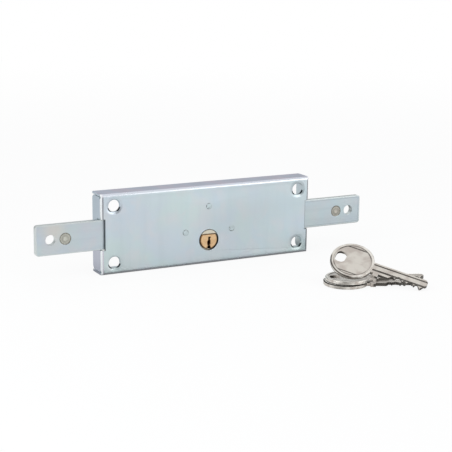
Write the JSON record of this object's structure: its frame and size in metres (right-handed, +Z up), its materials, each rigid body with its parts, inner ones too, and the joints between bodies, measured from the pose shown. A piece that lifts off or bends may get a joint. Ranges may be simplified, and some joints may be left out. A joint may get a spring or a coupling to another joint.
{
  "type": "rim box lock",
  "caption": "Flat surface-mounted shutter lock: key cylinder in a folded steel case drives opposed flat bolts out of both ends, shown with its keys.",
  "frame": {"origin": "centre of the four fixing holes on the front face of the case", "axes": "+X along the bolts to the right as seen from the front, +Y from the front face towards the door, +Z up"},
  "size_m": [0.2444, 0.1514, 0.054],
  "materials": {
    "zinc_plated_steel": "zinc plated, satin with a faint blue tint",
    "plain_steel": "machined steel, dull",
    "brass": "turned brass, satin",
    "pale_alloy": "sintered alloy, pale and satin",
    "nickel_silver": "nickel plated, satin",
    "spring_steel": "spring wire"
  },
  "bodies": {
    "lock_case": {"case": "zinc_plated_steel", "rear_cover": "zinc_plated_steel", "cylinder_barrel": "brass", "left_post": "zinc_plated_steel", "right_post": "zinc_plated_steel", "top_post": "zinc_plated_steel", "cover_screws": "plain_steel", "barrel_screws": "plain_steel", "pin_caps": "brass", "pin_spring_1": "spring_steel", "pin_spring_2": "spring_steel", "pin_spring_3": "spring_steel", "pin_spring_4": "spring_steel", "pin_spring_5": "spring_steel"},
    "plug": {"plug": "brass", "driver_gear": "pale_alloy", "plug_clip": "spring_steel"},
    "left_bolt": {"left_bolt": "zinc_plated_steel", "left_peg": "plain_steel"},
    "right_bolt": {"right_bolt": "zinc_plated_steel", "right_peg": "plain_steel"},
    "key_1": {"key_1": "nickel_silver"},
    "key_2": {"key_2": "nickel_silver"},
    "key_3": {"key_3": "nickel_silver"},
    "key_pin_1": {"key_pin_1": "brass"},
    "driver_pin_1": {"driver_pin_1": "plain_steel"},
    "key_pin_2": {"key_pin_2": "brass"},
    "driver_pin_2": {"driver_pin_2": "plain_steel"},
    "key_pin_3": {"key_pin_3": "brass"},
    "driver_pin_3": {"driver_pin_3": "plain_steel"},
    "key_pin_4": {"key_pin_4": "brass"},
    "driver_pin_4": {"driver_pin_4": "plain_steel"},
    "key_pin_5": {"key_pin_5": "brass"},
    "driver_pin_5": {"driver_pin_5": "plain_steel"}
  },
  "joints": [
    {"name": "plug_turn", "type": "hinge", "parent": "lock_case", "child": "plug", "pos_m": [0, 0.01, -0.0105], "axis": [0, 1, 0], "range_deg": [0, 107.5]},
    {"name": "left_bolt_slide", "type": "slide", "parent": "lock_case", "child": "left_bolt", "axis": [1, 0, 0], "range_m": [0, 0.018]},
    {"name": "right_bolt_slide", "type": "slide", "parent": "lock_case", "child": "right_bolt", "axis": [-1, 0, 0], "range_m": [0, 0.018]},
    {"name": "key_1_lift", "type": "slide", "parent": "lock_case", "child": "key_1", "axis": [0, 0, 1], "range_m": [0, 0.06]},
    {"name": "key_2_lift", "type": "slide", "parent": "key_1", "child": "key_2", "axis": [0, 0, 1], "range_m": [0, 0.06]},
    {"name": "key_3_lift", "type": "slide", "parent": "key_2", "child": "key_3", "axis": [0, 0, 1], "range_m": [0, 0.06]},
    {"name": "key_pin_1_slide", "type": "slide", "parent": "plug", "child": "key_pin_1", "axis": [0, 0, 1], "range_m": [0, 0.0024]},
    {"name": "driver_pin_1_slide", "type": "slide", "parent": "lock_case", "child": "driver_pin_1", "axis": [0, 0, -1], "range_m": [0, 0.001], "stiffness_N_per_m": 150, "springref_m": -0.002, "deforming": ["pin_spring_1"]},
    {"name": "key_pin_2_slide", "type": "slide", "parent": "plug", "child": "key_pin_2", "axis": [0, 0, 1], "range_m": [0, 0.00144]},
    {"name": "driver_pin_2_slide", "type": "slide", "parent": "lock_case", "child": "driver_pin_2", "axis": [0, 0, -1], "range_m": [0, 0.001], "stiffness_N_per_m": 150, "springref_m": -0.002, "deforming": ["pin_spring_2"]},
    {"name": "key_pin_3_slide", "type": "slide", "parent": "plug", "child": "key_pin_3", "axis": [0, 0, 1], "range_m": [0, 0.0024]},
    {"name": "driver_pin_3_slide", "type": "slide", "parent": "lock_case", "child": "driver_pin_3", "axis": [0, 0, -1], "range_m": [0, 0.001], "stiffness_N_per_m": 150, "springref_m": -0.002, "deforming": ["pin_spring_3"]},
    {"name": "key_pin_4_slide", "type": "slide", "parent": "plug", "child": "key_pin_4", "axis": [0, 0, 1], "range_m": [0, 0.00192]},
    {"name": "driver_pin_4_slide", "type": "slide", "parent": "lock_case", "child": "driver_pin_4", "axis": [0, 0, -1], "range_m": [0, 0.001], "stiffness_N_per_m": 150, "springref_m": -0.002, "deforming": ["pin_spring_4"]},
    {"name": "key_pin_5_slide", "type": "slide", "parent": "plug", "child": "key_pin_5", "axis": [0, 0, 1], "range_m": [0, 0.0024]},
    {"name": "driver_pin_5_slide", "type": "slide", "parent": "lock_case", "child": "driver_pin_5", "axis": [0, 0, -1], "range_m": [0, 0.001], "stiffness_N_per_m": 150, "springref_m": -0.002, "deforming": ["pin_spring_5"]}
  ],
  "couplings": [
    {"joint": "plug_turn", "follows": "left_bolt_slide", "rad_per_m": 104.17},
    {"joint": "right_bolt_slide", "follows": "left_bolt_slide", "ratio": 1}
  ]
}
